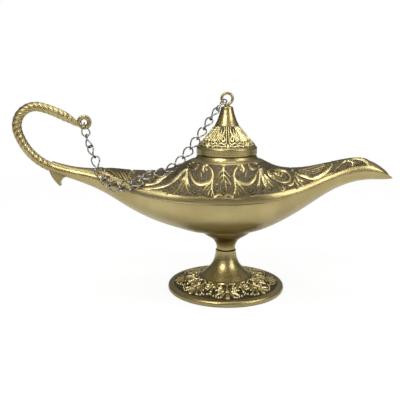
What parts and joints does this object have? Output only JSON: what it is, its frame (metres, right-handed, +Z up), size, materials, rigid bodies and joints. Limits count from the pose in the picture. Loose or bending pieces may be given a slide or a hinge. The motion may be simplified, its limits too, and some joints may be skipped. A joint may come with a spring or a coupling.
{
  "type": "oil lamp",
  "caption": "Boat-shaped genie oil lamp on a round foot, with a rope-twist loop handle, an embossed deck, a lift-off conical lid and a chain that keeps the lid.",
  "frame": {"origin": "centre of the foot's underside, on the axis of foot, stem and lid", "axes": "+X towards the spout, -X towards the handle, +Z up, and the chain hangs on the -Y side"},
  "size_m": [0.2206, 0.0694, 0.1169],
  "materials": {
    "antique_brass": "satin, dark patina in the relief",
    "nickel_chain": "bright nickel",
    "screw_steel": "zinc plated"
  },
  "bodies": {
    "base": {"foot_disc": "antique_brass", "stem_cone": "antique_brass", "foot_washer": "screw_steel", "foot_screw": "screw_steel", "hull": "antique_brass", "cover": "antique_brass", "handle": "antique_brass"},
    "lid": {"lid": "antique_brass", "lid_eye": "antique_brass"},
    "link_01": {"chain_link_01": "nickel_chain"},
    "link_02": {"chain_link_02": "nickel_chain"},
    "link_03": {"chain_link_03": "nickel_chain"},
    "link_04": {"chain_link_04": "nickel_chain"},
    "link_05": {"chain_link_05": "nickel_chain"},
    "link_06": {"chain_link_06": "nickel_chain"},
    "link_07": {"chain_link_07": "nickel_chain"},
    "link_08": {"chain_link_08": "nickel_chain"},
    "link_09": {"chain_link_09": "nickel_chain"},
    "link_10": {"chain_link_10": "nickel_chain"},
    "link_11": {"chain_link_11": "nickel_chain"},
    "link_12": {"chain_link_12": "nickel_chain"},
    "link_13": {"chain_link_13": "nickel_chain"},
    "link_14": {"chain_link_14": "nickel_chain"},
    "link_15": {"chain_link_15": "nickel_chain"},
    "link_16": {"chain_link_16": "nickel_chain"},
    "link_17": {"chain_link_17": "nickel_chain"},
    "link_18": {"chain_link_18": "nickel_chain"},
    "link_19": {"chain_link_19": "nickel_chain"}
  },
  "joints": [
    {"name": "lid_lift", "type": "slide", "parent": "base", "child": "lid", "axis": [0, 0, 1], "range_m": [0, 0.02]},
    {"name": "link_01_swing", "type": "hinge", "parent": "base", "child": "link_01", "pos_m": [-0.08202, 0, 0.09872], "axis": [-0.5069, -0.5731, 0.644], "range_deg": [0, 8.8]},
    {"name": "link_02_swing", "type": "hinge", "parent": "link_01", "child": "link_02", "pos_m": [-0.08081, -0.00113, 0.09208], "axis": [-0.619, -0.7772, -0.1131], "range_deg": [0, 15.9]},
    {"name": "link_03_swing", "type": "hinge", "parent": "link_02", "child": "link_03", "pos_m": [-0.07884, -0.00295, 0.08579], "axis": [0.2666, 0.0704, -0.9612], "range_deg": [0, 9.4]},
    {"name": "link_04_swing", "type": "hinge", "parent": "link_03", "child": "link_04", "pos_m": [-0.07575, -0.00542, 0.08021], "axis": [0.9976, -0.0684, 0.0142], "range_deg": [0, 15.1]},
    {"name": "link_05_swing", "type": "hinge", "parent": "link_04", "child": "link_05", "pos_m": [-0.0738, -0.00755, 0.07401], "axis": [0.7147, -0.1559, 0.6818], "range_deg": [0, 11.3]},
    {"name": "link_06_swing", "type": "hinge", "parent": "link_05", "child": "link_06", "pos_m": [-0.07027, -0.01097, 0.06926], "axis": [-0.3487, -0.4628, 0.815], "range_deg": [0, 9]},
    {"name": "link_07_swing", "type": "hinge", "parent": "link_06", "child": "link_07", "pos_m": [-0.06593, -0.01487, 0.0657], "axis": [0.135, 0.9908, 0.0001], "range_deg": [0, 10.1]},
    {"name": "link_08_swing", "type": "hinge", "parent": "link_07", "child": "link_08", "pos_m": [-0.05999, -0.018, 0.06437], "axis": [0.2202, 0.974, 0.0538], "range_deg": [0, 14.4]},
    {"name": "link_09_swing", "type": "hinge", "parent": "link_08", "child": "link_09", "pos_m": [-0.05366, -0.01936, 0.06656], "axis": [0.6425, -0.7514, 0.1502], "range_deg": [0, 5.3]},
    {"name": "link_10_swing", "type": "hinge", "parent": "link_09", "child": "link_10", "pos_m": [-0.04763, -0.01795, 0.06946], "axis": [0.6088, -0.6377, -0.4719], "range_deg": [0, 8.9]},
    {"name": "link_11_swing", "type": "hinge", "parent": "link_10", "child": "link_11", "pos_m": [-0.0419, -0.01519, 0.07196], "axis": [-0.1036, -0.9273, -0.3597], "range_deg": [0, 9.8]},
    {"name": "link_12_swing", "type": "hinge", "parent": "link_11", "child": "link_12", "pos_m": [-0.03515, -0.01527, 0.07306], "axis": [0.0337, -0.1461, -0.9887], "range_deg": [0, 10.6]},
    {"name": "link_13_swing", "type": "hinge", "parent": "link_12", "child": "link_13", "pos_m": [-0.02934, -0.01341, 0.07615], "axis": [-0.152, -0.8535, -0.4984], "range_deg": [0, 10.8]},
    {"name": "link_14_swing", "type": "hinge", "parent": "link_13", "child": "link_14", "pos_m": [-0.02493, -0.01027, 0.08033], "axis": [-0.8658, -0.2869, 0.41], "range_deg": [0, 20.9]},
    {"name": "link_15_swing", "type": "hinge", "parent": "link_14", "child": "link_15", "pos_m": [-0.02074, -0.00824, 0.08533], "axis": [-0.5143, 0.8574, 0.0207], "range_deg": [0, 22.4]},
    {"name": "link_16_swing", "type": "hinge", "parent": "link_15", "child": "link_16", "pos_m": [-0.0169, -0.0065, 0.09072], "axis": [0.4594, 0.8008, -0.3844], "range_deg": [0, 4.6]},
    {"name": "link_17_swing", "type": "hinge", "parent": "link_16", "child": "link_17", "pos_m": [-0.01312, -0.00491, 0.09619], "axis": [0.7518, 0.6061, -0.2598], "range_deg": [0, 2.1]},
    {"name": "link_18_swing", "type": "hinge", "parent": "link_17", "child": "link_18", "pos_m": [-0.00947, -0.00338, 0.10177], "axis": [-0.1742, 0.9841, -0.0334], "range_deg": [0, 4.6]},
    {"name": "link_19_swing", "type": "hinge", "parent": "link_18", "child": "link_19", "pos_m": [-0.00563, -0.00169, 0.10716], "axis": [-0.6738, 0.3394, 0.6564], "range_deg": [0, 2.5]}
  ],
  "couplings": [
    {"joint": "link_01_swing", "follows": "lid_lift", "rad_per_m": 7.2199},
    {"joint": "link_02_swing", "follows": "lid_lift", "rad_per_m": 13.476},
    {"joint": "link_03_swing", "follows": "lid_lift", "rad_per_m": 7.7661},
    {"joint": "link_04_swing", "follows": "lid_lift", "rad_per_m": 12.782},
    {"joint": "link_05_swing", "follows": "lid_lift", "rad_per_m": 9.4342},
    {"joint": "link_06_swing", "follows": "lid_lift", "rad_per_m": 7.4186},
    {"joint": "link_07_swing", "follows": "lid_lift", "rad_per_m": 8.3506},
    {"joint": "link_08_swing", "follows": "lid_lift", "rad_per_m": 12.136},
    {"joint": "link_09_swing", "follows": "lid_lift", "rad_per_m": 4.1556},
    {"joint": "link_10_swing", "follows": "lid_lift", "rad_per_m": 7.329},
    {"joint": "link_11_swing", "follows": "lid_lift", "rad_per_m": 8.121},
    {"joint": "link_12_swing", "follows": "lid_lift", "rad_per_m": 8.8133},
    {"joint": "link_13_swing", "follows": "lid_lift", "rad_per_m": 9.0302},
    {"joint": "link_14_swing", "follows": "lid_lift", "rad_per_m": 17.791},
    {"joint": "link_15_swing", "follows": "lid_lift", "rad_per_m": 19.107},
    {"joint": "link_16_swing", "follows": "lid_lift", "rad_per_m": 3.6045},
    {"joint": "link_17_swing", "follows": "lid_lift", "rad_per_m": 1.4354},
    {"joint": "link_18_swing", "follows": "lid_lift", "rad_per_m": 3.6059},
    {"joint": "link_19_swing", "follows": "lid_lift", "rad_per_m": 1.7563}
  ]
}
